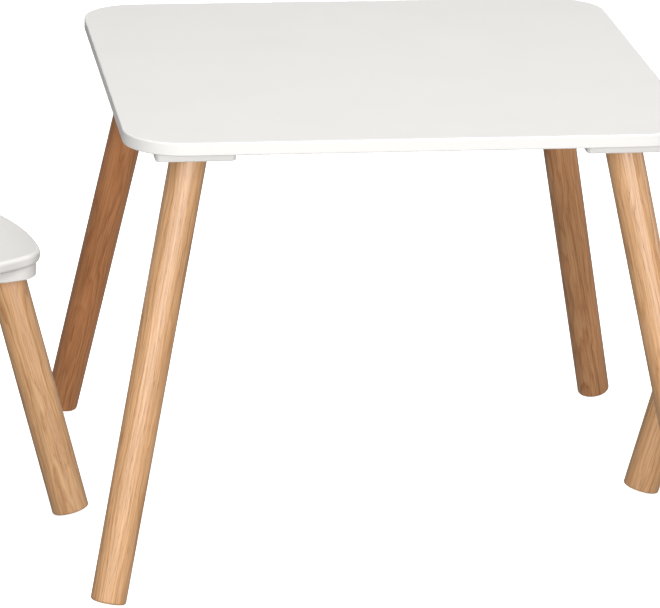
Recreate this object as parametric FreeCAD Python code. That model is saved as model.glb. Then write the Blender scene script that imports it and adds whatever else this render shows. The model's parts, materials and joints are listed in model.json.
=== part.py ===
"""Kids table with a pair of matching chairs.

Millimetres, +Z up. The origin is the middle of the table on the floor.
The table's front is -Y. Each chair is modelled facing +X about the middle of its seat,
then turned and set down beside the table.
"""
import FreeCAD, Part
import math
import os

from FreeCAD import Placement, Rotation, Vector

# ---------------------------------------------------------------- table
TABLE_WIDTH = 600.0
TABLE_HEIGHT = 495.0
TABLE_TOP_THICKNESS = 14.0
TABLE_CORNER_RADIUS = 62.0
TABLE_EDGE_ROUNDING = 1.5
TABLE_BLOCK_SIDE = 84.0
TABLE_BLOCK_CORNER = 6.0
TABLE_BLOCK_INSET = 32.0             # from the table's edge to the block's outer face
TABLE_LEG_TOP_DIAMETER = 39.2
TABLE_LEG_FOOT_DIAMETER = 37.8

# ---------------------------------------------------------------- chair
SEAT_WIDTH = 310.0
SEAT_HEIGHT = 300.0
SEAT_THICKNESS = 14.0
SEAT_CORNER_RADIUS = 52.0
SEAT_SIDE_RADIUS = 350.0             # each side of the seat bows out on this radius
SEAT_EDGE_ROUNDING = 4.5
CHAIR_BLOCK_SIDE = 70.0
CHAIR_BLOCK_CORNER = 28.0
CHAIR_BLOCK_INSET = 23.0             # from the seat's edge to the block's outer face
CHAIR_LEG_TOP_DIAMETER = 41.2
CHAIR_LEG_FOOT_DIAMETER = 41.0

# ---------------------------------------------------------------- legs and blocks
LEG_SPLAY = 15.7                     # degrees from upright, outwards on the diagonal
FOOT_ROUNDING = 2.5
BLOCK_THICKNESS = 15.0
BLOCK_EDGE_ROUNDING = 1.5

# ---------------------------------------------------------------- backrest
POST_DIAMETER = 24.0
POST_BLOCK_GAP = 1.0                 # between a post screw's head and the rear block
POST_INSET = 32.0                    # from the seat's rear edge to the post's axis
POST_LEAN = 10.0                     # degrees backwards
POST_SOCKET_FLOOR = 6.2              # seat left under the post, along the post
POST_FLAT_DEPTH = 4.0                # cut from the front of the post for the panel
POST_END_ROUNDING = 2.0
BACKREST_WIDTH = 250.0
BACKREST_HEIGHT = 125.0
BACKREST_THICKNESS = 14.0
BACKREST_CORNER_RADIUS = 52.0
BACKREST_SIDE_RADIUS = 450.0
BACKREST_EDGE_ROUNDING = 4.5
BACKREST_GAP = 95.0                  # from the seat up to the panel, along the posts
POST_TOP_MARGIN = 25.0               # how far the panel rises past the posts
LOWER_SCREW_MARGIN = 30.0            # from the panel's lower edge
UPPER_SCREW_MARGIN = 15.0            # from the top of the post

# ---------------------------------------------------------------- fasteners
FASTENER_CLEARANCE = 0.05            # radial, round every screw, bolt and insert
BOLT_RADIUS = 4.0
BOLT_DEPTH_IN_LEG = 42.0
BOLT_CHAMFER = 0.8
INSERT_RADIUS = 6.0
INSERT_SINK = 0.3                    # rim above the block's underside
INSERT_COVER = 3.0                   # block left beyond the insert, along the bolt
INSERT_SPARE = 1.0                   # insert left beyond the bolt's tip
SCREW_RADIUS = 2.0
SCREW_HEAD_RADIUS = 4.0
SCREW_HEAD_HEIGHT = 2.5
SCREW_SINK = 0.3                     # head below the surface
BLOCK_SCREW_BITE = 9.3               # thread length in the board above a block
TABLE_SCREW_MARGIN = 13.0            # from the sides of the block
CHAIR_SCREW_MARGIN = 7.5             # from the rounded corner of the block
POST_SCREW_RADIUS = 2.5
POST_SCREW_HEAD_RADIUS = 5.0
POST_SCREW_HEAD_HEIGHT = 2.5
POST_SCREW_SINK = 1.2
POST_SCREW_BITE = 33.0               # thread length in the post
PANEL_SCREW_BITE = 10.0              # thread length in the panel
PANEL_SCREW_BORE_RADIUS = 4.5
PANEL_SCREW_BORE_DEPTH = 4.0
CAP_THICKNESS = 1.3
RECESS_WIDTH = 0.9
RECESS_DEPTH = 1.5
RECESS_SPAN = 0.55                   # of the head's diameter

# ---------------------------------------------------------------- where the chairs stand
CHAIR_GAP = 18.5                     # left chair's nearest foot to the table's edge line
LEFT_CHAIR_FACING = 22.1             # degrees from +X
LEFT_CHAIR_OFFSET = 43.0             # seat middle behind the table's middle
RIGHT_CHAIR_FACING = 142.6
RIGHT_CHAIR_OFFSET = 2.0

# ---------------------------------------------------------------- worked out
UP = Vector(0, 0, 1)
CUT_START = 5.0                      # how far outside the wood a drill or countersink starts
SPLAY = math.radians(LEG_SPLAY)
LEAN = math.radians(POST_LEAN)
TABLE_TOP_UNDERSIDE = TABLE_HEIGHT - TABLE_TOP_THICKNESS
SEAT_UNDERSIDE = SEAT_HEIGHT - SEAT_THICKNESS
LEG_SHIFT = BLOCK_THICKNESS * math.tan(SPLAY) / math.sqrt(2)    # along X and Y, through the block
TABLE_BLOCK_MIDDLE = TABLE_WIDTH / 2 - TABLE_BLOCK_INSET - TABLE_BLOCK_SIDE / 2
CHAIR_BLOCK_MIDDLE = SEAT_WIDTH / 2 - CHAIR_BLOCK_INSET - CHAIR_BLOCK_SIDE / 2
INSERT_START = INSERT_RADIUS * math.tan(SPLAY) + INSERT_SINK
INSERT_END = BLOCK_THICKNESS - INSERT_COVER
BLOCK_SCREW_LENGTH = BLOCK_THICKNESS - SCREW_SINK + BLOCK_SCREW_BITE
POST_SPACING = 2 * (
    CHAIR_BLOCK_MIDDLE - CHAIR_BLOCK_SIDE / 2 - POST_BLOCK_GAP - POST_SCREW_HEAD_RADIUS)
POST_SOCKET_DEPTH = SEAT_THICKNESS / math.cos(LEAN) - POST_SOCKET_FLOOR
POST_SCREW_LENGTH = POST_SOCKET_FLOOR - POST_SCREW_SINK + POST_SCREW_BITE
PANEL_SCREW_LENGTH = POST_DIAMETER - POST_FLAT_DEPTH - PANEL_SCREW_BORE_DEPTH + PANEL_SCREW_BITE
POST_UP = Vector(-math.sin(LEAN), 0, math.cos(LEAN))
POST_FORWARD = Vector(math.cos(LEAN), 0, math.sin(LEAN))
TABLE_CORNERS = {
    "front_left": (-1, -1),
    "front_right": (1, -1),
    "rear_left": (-1, 1),
    "rear_right": (1, 1),
}
CHAIR_CORNERS = {
    "front_left": (1, 1),
    "front_right": (1, -1),
    "rear_left": (-1, 1),
    "rear_right": (-1, -1),
}
POST_SIDES = {"left": 1, "right": -1}


# ================================================================ boards
def upright_edges(shape, thickness):
    return [edge for edge in shape.Edges if edge.BoundBox.ZLength > thickness / 2]


def square_board(side, thickness, corner_radius):
    """Board with straight sides and rounded corners, standing on Z = 0."""
    board = Part.makeBox(side, side, thickness, Vector(-side / 2, -side / 2, 0))
    return board.makeFillet(corner_radius, upright_edges(board, thickness))


def bowed_board(width, depth, thickness, corner_radius, side_radius):
    """Board with bowed sides: what four large discs share, with its corners rounded."""
    x = width / 2 - side_radius
    y = depth / 2 - side_radius
    discs = []
    for centre in (Vector(x, 0), Vector(-x, 0), Vector(0, y), Vector(0, -y)):
        disc = Part.makeCylinder(side_radius, thickness, centre)
        disc.rotate(centre, UP, 45)          # keeps the disc's seam off the board
        discs.append(disc)
    board = discs[0].common(discs[1]).common(discs[2]).common(discs[3])
    return board.makeFillet(corner_radius, upright_edges(board, thickness))


def rounded_at(board, height, radius):
    """The board with its edges at one height rounded."""
    boxes = [(edge, edge.BoundBox) for edge in board.Edges]
    level = [edge for edge, box in boxes if abs(box.ZMin - height) < 1e-3 and box.ZLength < 1e-3]
    return board.makeFillet(radius, level)


# ================================================================ helpers
def moved(shape, position, direction=UP):
    """A copy of a shape, its +Z turned to a direction and its origin put at a position."""
    copy = shape.copy()
    copy.Placement = Placement(position, Rotation(UP, direction))
    return copy


def rod(radius, start, direction, length):
    return Part.makeCylinder(radius, length, start, direction)


def cut_all(shape, tools):
    """The shape less every tool, one after another."""
    for tool in tools:
        shape = shape.cut(tool)
    return shape


# ================================================================ fasteners
def countersunk_screw(radius, head_radius, head_height, length):
    """Screw pointing along +Z, its flat head's face at Z = 0, with a crossed recess."""
    head = Part.makeCone(head_radius, radius, head_height)
    shank = Part.makeCylinder(radius, length - head_height - radius, Vector(0, 0, head_height))
    point = Part.makeCone(radius, radius / 3, radius, Vector(0, 0, length - radius))
    screw = head.fuse([shank, point]).removeSplitter()
    span = 2 * head_radius * RECESS_SPAN
    arms = [
        Part.makeBox(span, RECESS_WIDTH, RECESS_DEPTH, Vector(-span / 2, -RECESS_WIDTH / 2, 0)),
        Part.makeBox(RECESS_WIDTH, span, RECESS_DEPTH, Vector(-RECESS_WIDTH / 2, -span / 2, 0)),
    ]
    return screw.cut(arms[0].fuse(arms[1]))


def countersunk_hole(radius, head_radius, head_height, length, sink):
    """Space for a countersunk screw whose head is sunk, open below the head."""
    clear = FASTENER_CLEARANCE
    mouth_depth = sink + CUT_START
    mouth = Part.makeCylinder(head_radius + clear, mouth_depth, Vector(0, 0, -mouth_depth))
    head = Part.makeCone(head_radius + clear, radius + clear, head_height)
    shank = Part.makeCylinder(radius + clear, length)
    return mouth.fuse([head, shank]).removeSplitter()


def hanger_bolt(start, direction):
    """Bolt from inside the leg, up into the insert nut in the block."""
    length = BOLT_DEPTH_IN_LEG + INSERT_END - INSERT_SPARE
    bolt = Part.makeCylinder(BOLT_RADIUS, length)
    bolt = bolt.makeChamfer(BOLT_CHAMFER, [edge for edge in bolt.Edges if len(edge.Vertexes) == 1])
    return moved(bolt, start, direction)


def insert_nut(start, direction):
    length = INSERT_END - INSERT_START
    outer = Part.makeCylinder(INSERT_RADIUS, length)
    bore = Part.makeCylinder(BOLT_RADIUS + FASTENER_CLEARANCE, length)
    return moved(outer.cut(bore), start, direction)


# ================================================================ legs
def leg_directions(corner):
    """Unit vectors down and up the axis of the leg at a corner."""
    out = Vector(corner[0], corner[1], 0).normalize()
    down = math.sin(SPLAY) * out + Vector(0, 0, -math.cos(SPLAY))
    return down, down.negative()


def leg_length(underside, foot_radius):
    """Length on the axis from the block to the foot's face, whose lowest edge is on the floor."""
    drop = (foot_radius - FOOT_ROUNDING) * math.sin(SPLAY) + FOOT_ROUNDING
    return FOOT_ROUNDING + (underside - drop) / math.cos(SPLAY)


def splayed_leg(joint, corner, top_diameter, foot_diameter):
    """Round leg cut level at the block and square at the foot, drilled for its bolt."""
    down, up = leg_directions(corner)
    length = leg_length(joint.z, foot_diameter / 2)
    spare = top_diameter
    widening = (top_diameter - foot_diameter) / 2 / length
    top_radius = top_diameter / 2 + spare * widening
    bar = Part.makeCone(top_radius, foot_diameter / 2, length + spare, joint + spare * up, down)
    foot_edge = min((e for e in bar.Edges if len(e.Vertexes) == 1), key=lambda e: e.BoundBox.ZMin)
    bar = bar.makeFillet(FOOT_ROUNDING, [foot_edge])
    above = Part.makeBox(2 * spare, 2 * spare, 2 * spare, joint - Vector(spare, spare, 0))
    hole_bottom = joint + BOLT_DEPTH_IN_LEG * down
    hole = rod(BOLT_RADIUS + FASTENER_CLEARANCE, hole_bottom, up, BOLT_DEPTH_IN_LEG + spare)
    return bar.cut(above).cut(hole)


# ================================================================ blocks
def leg_joint(middle, corner):
    """Where the leg's axis leaves the block, whose top face it meets in the middle."""
    return middle + LEG_SHIFT * Vector(corner[0], corner[1], 0)


def leg_block(middle, corner, side, corner_radius, screw_places):
    """Block under a board, bored for the insert nut and for its screws."""
    block = square_board(side, BLOCK_THICKNESS, corner_radius)
    block = rounded_at(block, 0.0, BLOCK_EDGE_ROUNDING)
    block.translate(middle)
    up = leg_directions(corner)[1]
    bore_start = leg_joint(middle, corner) - CUT_START * up
    bore = rod(INSERT_RADIUS + FASTENER_CLEARANCE, bore_start, up, CUT_START + INSERT_END)
    hole = countersunk_hole(
        SCREW_RADIUS, SCREW_HEAD_RADIUS, SCREW_HEAD_HEIGHT, BLOCK_SCREW_LENGTH, SCREW_SINK)
    holes = [moved(hole, middle + place + SCREW_SINK * UP) for place in screw_places]
    return cut_all(block, [bore] + holes)


def pilot_holes(middle, screw_places):
    """Blind holes for the tips of a block's screws, in the board above it."""
    start = middle + BLOCK_THICKNESS * UP
    radius = SCREW_RADIUS + FASTENER_CLEARANCE
    return [rod(radius, start + place, UP, BLOCK_SCREW_BITE) for place in screw_places]


def blocks_under(board_underside, offset, corners):
    """Middle of each block's underside, by corner name."""
    height = board_underside - BLOCK_THICKNESS
    return {name: Vector(x * offset, y * offset, height) for name, (x, y) in corners.items()}


def undercarriage(prefix, corners, middles, screw_places, block, leg):
    """Blocks, legs and their fasteners under one board, by node name."""
    nodes = {}
    bolts, nuts, screws = [], [], []
    screw = countersunk_screw(SCREW_RADIUS, SCREW_HEAD_RADIUS, SCREW_HEAD_HEIGHT, BLOCK_SCREW_LENGTH)
    for name, corner in corners.items():
        middle = middles[name]
        joint = leg_joint(middle, corner)
        up = leg_directions(corner)[1]
        nodes[f"{prefix}_block_{name}"] = leg_block(middle, corner, *block, screw_places(corner))
        nodes[f"{prefix}_leg_{name}"] = splayed_leg(joint, corner, *leg)
        bolts.append(hanger_bolt(joint - BOLT_DEPTH_IN_LEG * up, up))
        nuts.append(insert_nut(joint + INSERT_START * up, up))
        screws += [moved(screw, middle + place + SCREW_SINK * UP) for place in screw_places(corner)]
    nodes[f"{prefix}_leg_bolts"] = Part.makeCompound(bolts)
    nodes[f"{prefix}_insert_nuts"] = Part.makeCompound(nuts)
    nodes[f"{prefix}_block_screws"] = Part.makeCompound(screws)
    return nodes


# ================================================================ table
def table_screw_places(corner):
    """Four screws near the corners of the block."""
    offset = TABLE_BLOCK_SIDE / 2 - TABLE_SCREW_MARGIN
    return [Vector(x * offset, y * offset, 0) for x, y in TABLE_CORNERS.values()]


def make_table():
    middles = blocks_under(TABLE_TOP_UNDERSIDE, TABLE_BLOCK_MIDDLE, TABLE_CORNERS)
    top = square_board(TABLE_WIDTH, TABLE_TOP_THICKNESS, TABLE_CORNER_RADIUS)
    for height in (TABLE_TOP_THICKNESS, 0.0):
        top = rounded_at(top, height, TABLE_EDGE_ROUNDING)
    top.translate(Vector(0, 0, TABLE_TOP_UNDERSIDE))
    holes = []
    for name, corner in TABLE_CORNERS.items():
        holes += pilot_holes(middles[name], table_screw_places(corner))
    nodes = {"table_top": cut_all(top, holes)}
    nodes.update(undercarriage(
        "table", TABLE_CORNERS, middles, table_screw_places,
        block=(TABLE_BLOCK_SIDE, TABLE_BLOCK_CORNER),
        leg=(TABLE_LEG_TOP_DIAMETER, TABLE_LEG_FOOT_DIAMETER),
    ))
    return nodes


# ================================================================ seat
def chair_screw_places(corner):
    """Two screws beside the leg, on the diagonal across its splay."""
    corner_reach = (CHAIR_BLOCK_SIDE / 2 - CHAIR_BLOCK_CORNER) * math.sqrt(2) + CHAIR_BLOCK_CORNER
    across = (corner_reach - CHAIR_SCREW_MARGIN) * Vector(-corner[1], corner[0], 0).normalize()
    return [across, across.negative()]


def post_point(side, height, forward=0.0):
    """A point by a post: its height is along the post from the seat's top face."""
    foot = Vector(POST_INSET - SEAT_WIDTH / 2, side * POST_SPACING / 2, SEAT_HEIGHT)
    return foot + height * POST_UP + forward * POST_FORWARD


def post_screw_start(side):
    """Face of the post screw's head, just inside the seat's underside."""
    return post_point(side, -POST_SOCKET_DEPTH - POST_SOCKET_FLOOR + POST_SCREW_SINK)


def post_screw_hole(side):
    hole = countersunk_hole(
        POST_SCREW_RADIUS, POST_SCREW_HEAD_RADIUS, POST_SCREW_HEAD_HEIGHT,
        POST_SCREW_LENGTH, POST_SCREW_SINK)
    return moved(hole, post_screw_start(side), POST_UP)


def post_socket(side):
    start = post_point(side, -POST_SOCKET_DEPTH)
    return rod(POST_DIAMETER / 2 + FASTENER_CLEARANCE, start, POST_UP, POST_SOCKET_DEPTH + POST_DIAMETER)


def seat_board(middles):
    """Bowed seat with blind holes for the block screws and tilted sockets for the posts."""
    seat = bowed_board(SEAT_WIDTH, SEAT_WIDTH, SEAT_THICKNESS, SEAT_CORNER_RADIUS, SEAT_SIDE_RADIUS)
    for height in (SEAT_THICKNESS, 0.0):
        seat = rounded_at(seat, height, SEAT_EDGE_ROUNDING)
    seat.translate(Vector(0, 0, SEAT_UNDERSIDE))
    cuts = []
    for name, corner in CHAIR_CORNERS.items():
        cuts += pilot_holes(middles[name], chair_screw_places(corner))
    for side in POST_SIDES.values():
        cuts += [post_socket(side), post_screw_hole(side)]
    return cut_all(seat, cuts)


# ================================================================ backrest
def panel_screw_places(side):
    """Where each backrest screw's head seats, at the bottom of its bore in the post."""
    depth = PANEL_SCREW_BORE_DEPTH - POST_DIAMETER / 2
    post_top = BACKREST_GAP + BACKREST_HEIGHT - POST_TOP_MARGIN
    heights = (BACKREST_GAP + LOWER_SCREW_MARGIN, post_top - UPPER_SCREW_MARGIN)
    return [post_point(side, height, depth) for height in heights]


def panel_screw_hole(place, length):
    return rod(SCREW_RADIUS + FASTENER_CLEARANCE, place, POST_FORWARD, length)


def backrest_post(side):
    """Round post with its front flattened for the panel, bored from behind for the screws."""
    length = POST_SOCKET_DEPTH + BACKREST_GAP + BACKREST_HEIGHT - POST_TOP_MARGIN
    post = rod(POST_DIAMETER / 2, post_point(side, -POST_SOCKET_DEPTH), POST_UP, length)
    top_edge = max((e for e in post.Edges if len(e.Vertexes) == 1), key=lambda e: e.BoundBox.ZMax)
    post = post.makeFillet(POST_END_ROUNDING, [top_edge])
    corner = Vector(POST_DIAMETER / 2 - POST_FLAT_DEPTH, -POST_DIAMETER / 2, 0)
    flat = Part.makeBox(POST_DIAMETER, POST_DIAMETER, BACKREST_HEIGHT, corner)
    flat.Placement = Placement(post_point(side, BACKREST_GAP), Rotation(Vector(0, 1, 0), -POST_LEAN))
    bores = [post_screw_hole(side)]
    for place in panel_screw_places(side):
        bores.append(rod(PANEL_SCREW_BORE_RADIUS, place, POST_FORWARD.negative(), POST_DIAMETER))
        bores.append(panel_screw_hole(place, POST_DIAMETER))
    return cut_all(post, [flat] + bores)


def backrest_panel():
    """Bowed panel against the flats of the posts."""
    panel = bowed_board(
        BACKREST_HEIGHT, BACKREST_WIDTH, BACKREST_THICKNESS, BACKREST_CORNER_RADIUS, BACKREST_SIDE_RADIUS)
    for height in (BACKREST_THICKNESS, 0.0):
        panel = rounded_at(panel, height, BACKREST_EDGE_ROUNDING)
    back_face = POST_DIAMETER / 2 - POST_FLAT_DEPTH
    middle = post_point(0, BACKREST_GAP + BACKREST_HEIGHT / 2, back_face)
    panel.Placement = Placement(middle, Rotation(Vector(0, 1, 0), 90.0 - POST_LEAN))
    places = [place for side in POST_SIDES.values() for place in panel_screw_places(side)]
    return cut_all(panel, [panel_screw_hole(place, PANEL_SCREW_LENGTH) for place in places])


def panel_screw(place):
    """Flat-headed screw through a post into the panel."""
    head = rod(SCREW_HEAD_RADIUS, place, POST_FORWARD.negative(), SCREW_HEAD_HEIGHT)
    shank = rod(SCREW_RADIUS, place, POST_FORWARD, PANEL_SCREW_LENGTH)
    return head.fuse(shank).removeSplitter()


def screw_cap(place):
    start = place - SCREW_HEAD_HEIGHT * POST_FORWARD
    return rod(PANEL_SCREW_BORE_RADIUS - FASTENER_CLEARANCE, start, POST_FORWARD.negative(), CAP_THICKNESS)


def backrest(prefix):
    """Posts, panel and their fasteners, by node name."""
    nodes = {f"{prefix}_post_{name}": backrest_post(side) for name, side in POST_SIDES.items()}
    nodes[f"{prefix}_backrest"] = backrest_panel()
    post_screw = countersunk_screw(
        POST_SCREW_RADIUS, POST_SCREW_HEAD_RADIUS, POST_SCREW_HEAD_HEIGHT, POST_SCREW_LENGTH)
    post_screws = [moved(post_screw, post_screw_start(side), POST_UP) for side in POST_SIDES.values()]
    places = [place for side in POST_SIDES.values() for place in panel_screw_places(side)]
    nodes[f"{prefix}_post_screws"] = Part.makeCompound(post_screws)
    nodes[f"{prefix}_backrest_screws"] = Part.makeCompound([panel_screw(place) for place in places])
    nodes[f"{prefix}_screw_caps"] = Part.makeCompound([screw_cap(place) for place in places])
    return nodes


def make_chair(prefix):
    middles = blocks_under(SEAT_UNDERSIDE, CHAIR_BLOCK_MIDDLE, CHAIR_CORNERS)
    nodes = {f"{prefix}_seat": seat_board(middles)}
    nodes.update(undercarriage(
        prefix, CHAIR_CORNERS, middles, chair_screw_places,
        block=(CHAIR_BLOCK_SIDE, CHAIR_BLOCK_CORNER),
        leg=(CHAIR_LEG_TOP_DIAMETER, CHAIR_LEG_FOOT_DIAMETER),
    ))
    nodes.update(backrest(prefix))
    return nodes


# ================================================================ the set
def set_down(nodes, position, facing):
    """Turn a chair to face an angle and stand it at a position."""
    place = Placement(position, Rotation(UP, facing))
    for shape in nodes.values():
        shape.Placement = place.multiply(shape.Placement)
    return nodes


def foot_reach(facing, corner):
    """How far one foot of a chair reaches along X from the middle of its seat."""
    radius = CHAIR_LEG_FOOT_DIAMETER / 2
    length = leg_length(SEAT_UNDERSIDE - BLOCK_THICKNESS, radius)
    joint = (CHAIR_BLOCK_MIDDLE + LEG_SHIFT) * math.sqrt(2)
    radial = joint + (length - FOOT_ROUNDING) * math.sin(SPLAY)
    along = abs(math.cos(math.radians(facing) + math.atan2(corner[1], corner[0])))
    rim = (radius - FOOT_ROUNDING) * math.sqrt(1 - (math.sin(SPLAY) * along) ** 2)
    return radial * along + rim + FOOT_ROUNDING


def outermost_foot(facing):
    return max(foot_reach(facing, corner) for corner in CHAIR_CORNERS.values())


def make_set():
    """Table with a chair at each end, the two reaching equally far from its middle."""
    left_reach = outermost_foot(LEFT_CHAIR_FACING)
    right_reach = outermost_foot(RIGHT_CHAIR_FACING)
    half_length = TABLE_WIDTH / 2 + CHAIR_GAP + 2 * left_reach
    left_middle = Vector(left_reach - half_length, LEFT_CHAIR_OFFSET, 0)
    right_middle = Vector(half_length - right_reach, RIGHT_CHAIR_OFFSET, 0)
    print("left chair stands at", left_middle, "right chair at", right_middle)
    nodes = make_table()
    nodes.update(set_down(make_chair("left_chair"), left_middle, LEFT_CHAIR_FACING))
    nodes.update(set_down(make_chair("right_chair"), right_middle, RIGHT_CHAIR_FACING))
    return nodes


os.makedirs("parts", exist_ok=True)
for node, shape in make_set().items():
    shape.exportStep(f"parts/{node}.step")
    print(f"{node}: {len(shape.Solids)} solid(s), {shape.Volume / 1000:.1f} cm3, valid {shape.isValid()}")
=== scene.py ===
# %% [markdown]
# # A kids table with two chairs
#
# The set is a low square table, a white board on four splayed wooden legs, and two small
# chairs made the same way, each with a bowed seat and a backrest on two round posts.
# The CAD model fixes every size and every joint. This file makes the looks: it loads the
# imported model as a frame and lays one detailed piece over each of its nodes.

import json
import math

import bmesh
import bpy
import numpy as np
from mathutils import Matrix, Vector


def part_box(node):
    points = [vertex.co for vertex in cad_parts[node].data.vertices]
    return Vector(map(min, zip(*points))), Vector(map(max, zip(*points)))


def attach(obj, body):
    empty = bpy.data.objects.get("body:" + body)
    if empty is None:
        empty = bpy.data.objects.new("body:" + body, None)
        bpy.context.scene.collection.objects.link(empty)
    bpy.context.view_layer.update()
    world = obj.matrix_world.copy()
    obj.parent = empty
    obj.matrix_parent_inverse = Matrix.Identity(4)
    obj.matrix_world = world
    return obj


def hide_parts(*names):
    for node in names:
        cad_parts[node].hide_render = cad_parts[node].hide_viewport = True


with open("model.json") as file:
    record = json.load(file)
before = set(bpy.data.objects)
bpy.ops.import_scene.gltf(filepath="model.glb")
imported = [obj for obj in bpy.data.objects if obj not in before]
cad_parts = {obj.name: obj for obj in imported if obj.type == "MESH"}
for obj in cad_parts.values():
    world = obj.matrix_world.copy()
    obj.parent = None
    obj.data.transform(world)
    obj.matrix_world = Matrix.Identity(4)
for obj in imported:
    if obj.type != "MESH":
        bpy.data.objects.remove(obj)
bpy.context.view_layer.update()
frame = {"record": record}

# %% [markdown]
# ## Camera
#
# The set is seen from the front and a little from its left, from the height of a standing
# adult's eyes and several metres away, so its lines hardly converge. A camera can be aimed
# with a Track To constraint, but a constraint cannot tip the picture. Three angles can: the
# heading, the dip below the horizon and the roll give the camera's own three axes, and those
# are the columns of its matrix.

# %% Place the camera
CAMERA_PLACE = Vector((-0.6983, -4.6287, 1.7049))
CAMERA_HEADING = math.radians(8.016)      # from +Y towards +X
CAMERA_DIP = math.radians(17.588)
CAMERA_ROLL = math.radians(-1.025)
CAMERA_LENS = 241.07                      # mm, on Blender's usual 36 mm sensor

forward = Vector((
    math.sin(CAMERA_HEADING) * math.cos(CAMERA_DIP),
    math.cos(CAMERA_HEADING) * math.cos(CAMERA_DIP),
    -math.sin(CAMERA_DIP),
))
level = Vector((math.cos(CAMERA_HEADING), -math.sin(CAMERA_HEADING), 0))
below = forward.cross(level)
right = level * math.cos(CAMERA_ROLL) + below * math.sin(CAMERA_ROLL)
above = level * math.sin(CAMERA_ROLL) - below * math.cos(CAMERA_ROLL)

camera = bpy.data.objects.new("camera", bpy.data.cameras.new("camera"))
camera.data.lens = CAMERA_LENS
turned = Matrix((right, above, -forward)).transposed().to_4x4()
camera.matrix_world = Matrix.Translation(CAMERA_PLACE) @ turned
bpy.context.scene.collection.objects.link(camera)
bpy.context.scene.camera = camera
print("camera is", round(CAMERA_PLACE.length, 2), "m from the middle of the table")

# %% [markdown]
# ## Studio
#
# Furniture looks its best on a bright sweep under soft lamps. Area lights are the nearest
# thing to softboxes: their size sets how soft a shadow is and how wide a highlight looks on
# a round leg. A large one hangs overhead and lights the boards. Two in front, one high and
# one low, light the edges, the blocks and the legs, and two narrow strips, left and right of
# the camera, draw the long streaks on the legs. The last two rim them from the right and
# light the back. The room is dim, so a leg darkens towards its limbs and looks round. The
# floor glows a little itself, which keeps the shadows on it pale, and it throws no light
# back on the furniture.

# %% Lights and floor
FLOOR_SIZE = 60.0
FLOOR_GLOW = 0.90
ROOM_LIGHT = 0.20


def softbox(name, place, target, width, height, power):
    """A rectangular lamp that points from its place at a target, hidden from the camera."""
    lamp = bpy.data.lights.new(name, "AREA")
    lamp.shape = "RECTANGLE"
    lamp.size, lamp.size_y, lamp.energy = width, height, power
    holder = bpy.data.objects.new(name, lamp)
    aim = Vector(target) - Vector(place)
    holder.matrix_world = Matrix.Translation(place) @ aim.to_track_quat("-Z", "Y").to_matrix().to_4x4()
    holder.visible_camera = False
    bpy.context.scene.collection.objects.link(holder)


softbox("left_strip", (-1.65, -2.05, 0.85), (0, 0, 0.3), 0.12, 1.0, 12)
softbox("right_strip", (1.45, -2.35, 0.75), (0, 0, 0.3), 0.12, 1.0, 12)
softbox("front_softbox", (0, -3.2, 0.8), (0, 0, 0.3), 2.4, 0.7, 47)
softbox("high_softbox", (-0.5, -3.0, 2.4), (0, 0, 0.3), 1.6, 1.2, 33)
softbox("overhead_softbox", (0, 0, 2.8), (0, 0, 0.4), 2.2, 1.6, 45)
softbox("right_softbox", (2.6, 0.3, 1.2), (0, 0, 0.3), 1.2, 1.6, 20)
softbox("back_softbox", (0.3, 2.8, 0.25), (0, 0, 0.25), 2.4, 0.4, 16)

world = bpy.data.worlds.new("studio")
world.use_nodes = True
world.node_tree.nodes["Background"].inputs["Color"].default_value = (1, 1, 1, 1)
world.node_tree.nodes["Background"].inputs["Strength"].default_value = ROOM_LIGHT
bpy.context.scene.world = world
bpy.context.scene.view_settings.view_transform = "Standard"

half = FLOOR_SIZE / 2
floor_mesh = bpy.data.meshes.new("floor")
corners = [(-half, -half, 0), (half, -half, 0), (half, half, 0), (-half, half, 0)]
floor_mesh.from_pydata(corners, [], [(0, 1, 2, 3)])
floor = bpy.data.objects.new("floor", floor_mesh)
floor.visible_diffuse = floor.visible_glossy = False
bpy.context.scene.collection.objects.link(floor)

# %% [markdown]
# ## Colours and nodes
#
# Colours are written the way a paint chart or a picture editor gives them, as sRGB hex
# values. Blender's shaders work in linear light, so one function converts them.
# A material is a small tree of nodes. Writing it out one call at a time is long, so one
# function adds any node, with its settings, and wires up whatever feeds it. Another starts a
# material with nothing in it.

# %% Helpers for every material
def linear(colour):
    """An sRGB hex colour such as "E8B080" as linear red, green, blue and alpha."""
    channels = [int(colour[start:start + 2], 16) / 255 for start in (0, 2, 4)]
    light = [c / 12.92 if c <= 0.04045 else ((c + 0.055) / 1.055) ** 2.4 for c in channels]
    return (*light, 1.0)


def add(tree, kind, inputs=None, stops=None, **settings):
    """Adds a shader node. An input is a plain value, or the output socket that feeds it."""
    node = tree.nodes.new("ShaderNode" + kind)
    for name, value in settings.items():
        setattr(node, name, value)
    for name, value in (inputs or {}).items():
        if isinstance(value, bpy.types.NodeSocket):
            tree.links.new(value, node.inputs[name])
        else:
            node.inputs[name].default_value = value
    if stops:                            # a colour ramp's stops, the first at 0 and the last at 1
        ramp = node.color_ramp.elements
        ramp[0].color, ramp[1].color = linear(stops[0][1]), linear(stops[-1][1])
        for position, colour in stops[1:-1]:
            ramp.new(position).color = linear(colour)
    return node


def finish_named(name):
    """A new material and its empty tree, ready for nodes."""
    material = bpy.data.materials.new(name)
    material.use_nodes = True
    material.node_tree.nodes.clear()
    return material, material.node_tree


floor_paint, tree = finish_named("studio_sweep_paint")
sweep = add(tree, "BsdfPrincipled", {
    "Base Color": linear("F4F4F4"), "Roughness": 0.9, "Specular IOR Level": 0.1,
    "Emission Color": linear("FFFFFF"), "Emission Strength": FLOOR_GLOW,
})
add(tree, "OutputMaterial", {"Surface": sweep.outputs["BSDF"]})
floor_mesh.materials.append(floor_paint)
print("white in linear light:", linear("FFFFFF")[:3], " mid grey:", round(linear("808080")[0], 3))

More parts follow.
